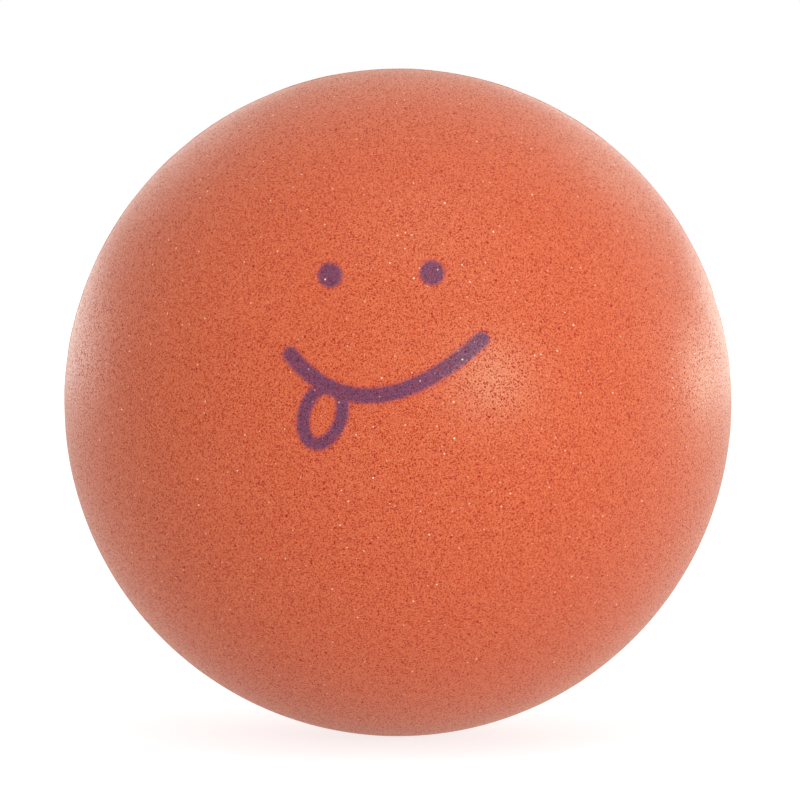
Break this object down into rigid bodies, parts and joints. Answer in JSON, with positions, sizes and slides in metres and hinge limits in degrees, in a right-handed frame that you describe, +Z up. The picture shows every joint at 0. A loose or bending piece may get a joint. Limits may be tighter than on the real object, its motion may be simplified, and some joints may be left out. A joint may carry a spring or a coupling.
{
  "type": "juggling ball",
  "caption": "Round moulded foam juggling ball with a fine-pored skin and a smiling doodle face printed on its front.",
  "frame": {"origin": "the ball's centre", "axes": "+Z up, -Y out through the middle of the printed side, so that +X is on the right when the face is looked at"},
  "size_m": [0.07, 0.07, 0.07],
  "materials": {
    "foam": "open fine-celled foam, matte",
    "foam_skin": "orange moulded foam skin, matte to satin, with fine open pores",
    "ink": "violet printing ink soaked into the skin, matte, speckled by the pores"
  },
  "bodies": {
    "root": {"foam_core": "foam", "skin": "foam_skin", "left_eye_print": "ink", "right_eye_print": "ink", "mouth_print": "ink", "tongue_print": "ink"}
  },
  "joints": []
}
